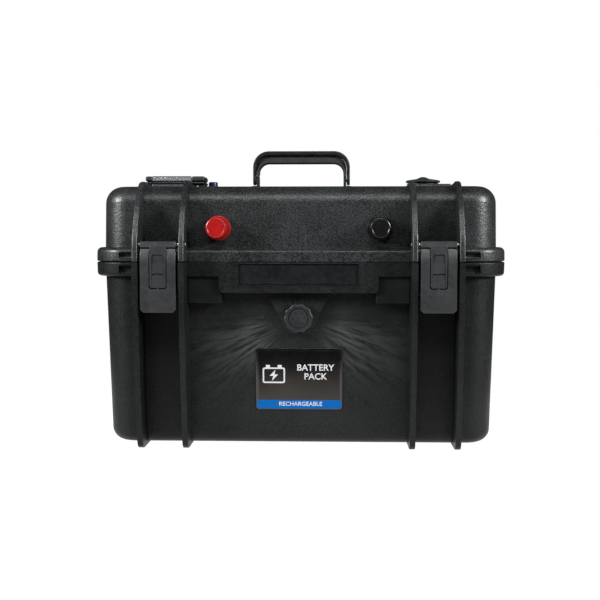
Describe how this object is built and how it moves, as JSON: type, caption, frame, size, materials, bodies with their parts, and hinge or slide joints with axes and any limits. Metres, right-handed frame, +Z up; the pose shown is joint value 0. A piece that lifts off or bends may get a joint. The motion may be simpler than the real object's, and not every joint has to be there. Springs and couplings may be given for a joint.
{
  "type": "portable battery pack",
  "caption": "Battery pack in a ribbed black hard case with a hinged latched lid, front terminals, carrying handle, meter, switch, charging socket and purge valve.",
  "frame": {"origin": "on the floor, under the middle of the pack's bounding box", "axes": "+X to the pack's right as its front is faced, the front faces -Y, +Z up"},
  "size_m": [0.441, 0.228, 0.322],
  "materials": {
    "case_plastic": "moulded polypropylene with a fine spark-eroded grain",
    "latch_plastic": "smooth satin nylon, lighter than the case",
    "handle_plastic": "satin moulded nylon",
    "grip_rubber": "soft over-moulded rubber",
    "red_plastic": "glossy red moulding",
    "black_gloss": "glossy black moulding",
    "steel": "plain zinc-plated or stainless steel",
    "brass": "turned brass",
    "copper": null,
    "aluminium": "milled or extruded aluminium",
    "cell_blue": "aluminium cell case in blue film",
    "label": "clear-domed printed label",
    "seal_rubber": "soft hollow seal",
    "foam": null,
    "board_green": "glass-epoxy circuit board with parts on it",
    "clear_plastic": null,
    "screen": "liquid crystal panel",
    "switch_blue": "translucent blue push button"
  },
  "bodies": {
    "base": {"base_shell": "case_plastic", "valve_bush": "black_gloss", "front_name_plate": "label", "rating_label": "label", "hinge_pin_left": "steel", "hinge_pin_right": "steel", "cell_1": "cell_blue", "cell_2": "cell_blue", "cell_3": "cell_blue", "cell_4": "cell_blue", "cell_5": "cell_blue", "cell_6": "cell_blue", "cell_7": "cell_blue", "cell_8": "cell_blue", "busbar_1": "copper", "busbar_2": "copper", "busbar_3": "copper", "busbar_4": "copper", "busbar_5": "copper", "busbar_6": "copper", "busbar_7": "copper", "end_plate_left": "aluminium", "end_plate_right": "aluminium", "pack_strap_lower": "steel", "pack_strap_upper": "steel", "floor_foam": "foam", "bms_board": "board_green", "bms_heat_sink": "aluminium", "bms_lead": "black_gloss", "positive_lead": "red_plastic", "negative_lead": "black_gloss"},
    "lid": {"lid_shell": "case_plastic", "lid_seal": "seal_rubber", "latch_pin_left": "steel", "latch_pin_right": "steel", "handle_bracket_left": "handle_plastic", "handle_bracket_right": "handle_plastic", "positive_insulator": "red_plastic", "positive_stud": "brass", "positive_nut": "steel", "negative_insulator": "black_gloss", "negative_stud": "brass", "negative_nut": "steel", "meter_housing": "black_gloss", "meter_screen": "screen", "switch_bezel": "steel", "socket_body": "black_gloss"},
    "latch_link_body_left": {"latch_link_left": "latch_plastic"},
    "latch_lever_body_left": {"latch_lever_left": "latch_plastic"},
    "latch_link_body_right": {"latch_link_right": "latch_plastic"},
    "latch_lever_body_right": {"latch_lever_right": "latch_plastic"},
    "handle": {"handle_bail": "handle_plastic", "handle_grip": "grip_rubber"},
    "positive_cap_body": {"positive_cap": "red_plastic"},
    "negative_cap_body": {"negative_cap": "black_gloss"},
    "valve_knob_body": {"valve_knob": "case_plastic"},
    "meter_cover_body": {"meter_cover": "clear_plastic"},
    "switch_button_body": {"switch_button": "switch_blue"},
    "socket_cap_body": {"socket_cap": "grip_rubber"}
  },
  "joints": [
    {"name": "lid_hinge", "type": "hinge", "parent": "base", "child": "lid", "pos_m": [0, 0.106, 0.1986], "axis": [-1, 0, 0], "range_deg": [0, 95], "deforming": ["positive_lead", "negative_lead"]},
    {"name": "latch_link_left", "type": "hinge", "parent": "lid", "child": "latch_link_body_left", "pos_m": [-0.144, -0.104, 0.217], "axis": [-1, 0, 0], "range_deg": [0, 100]},
    {"name": "latch_lever_left", "type": "hinge", "parent": "latch_link_body_left", "child": "latch_lever_body_left", "pos_m": [-0.144, -0.1075, 0.204], "axis": [-1, 0, 0], "range_deg": [0, 35]},
    {"name": "latch_link_right", "type": "hinge", "parent": "lid", "child": "latch_link_body_right", "pos_m": [0.144, -0.104, 0.217], "axis": [-1, 0, 0], "range_deg": [0, 100]},
    {"name": "latch_lever_right", "type": "hinge", "parent": "latch_link_body_right", "child": "latch_lever_body_right", "pos_m": [0.144, -0.1075, 0.204], "axis": [-1, 0, 0], "range_deg": [0, 35]},
    {"name": "handle_fold", "type": "hinge", "parent": "lid", "child": "handle", "pos_m": [0, 0.008, 0.289], "axis": [1, 0, 0], "range_deg": [-86, 86]},
    {"name": "positive_cap_pull", "type": "slide", "parent": "lid", "child": "positive_cap_body", "axis": [0, -1, 0], "range_m": [0, 0.03]},
    {"name": "negative_cap_pull", "type": "slide", "parent": "lid", "child": "negative_cap_body", "axis": [0, -1, 0], "range_m": [0, 0.03]},
    {"name": "valve_knob_turn", "type": "hinge", "parent": "base", "child": "valve_knob_body", "pos_m": [0, -0.083, 0.1395], "axis": [0, -1, 0], "range_deg": [0, 270]},
    {"name": "meter_cover_hinge", "type": "hinge", "parent": "lid", "child": "meter_cover_body", "pos_m": [-0.1425, 0.0265, 0.2892], "axis": [-1, 0, 0], "range_deg": [0, 100]},
    {"name": "switch_press", "type": "slide", "parent": "lid", "child": "switch_button_body", "axis": [0, 0, -1], "range_m": [0, 0.0018], "stiffness_N_per_m": 600, "springref_m": -0.003},
    {"name": "socket_cap_hinge", "type": "hinge", "parent": "lid", "child": "socket_cap_body", "pos_m": [0.138, 0.031, 0.2866], "axis": [-1, 0, 0], "range_deg": [0, 120]}
  ]
}
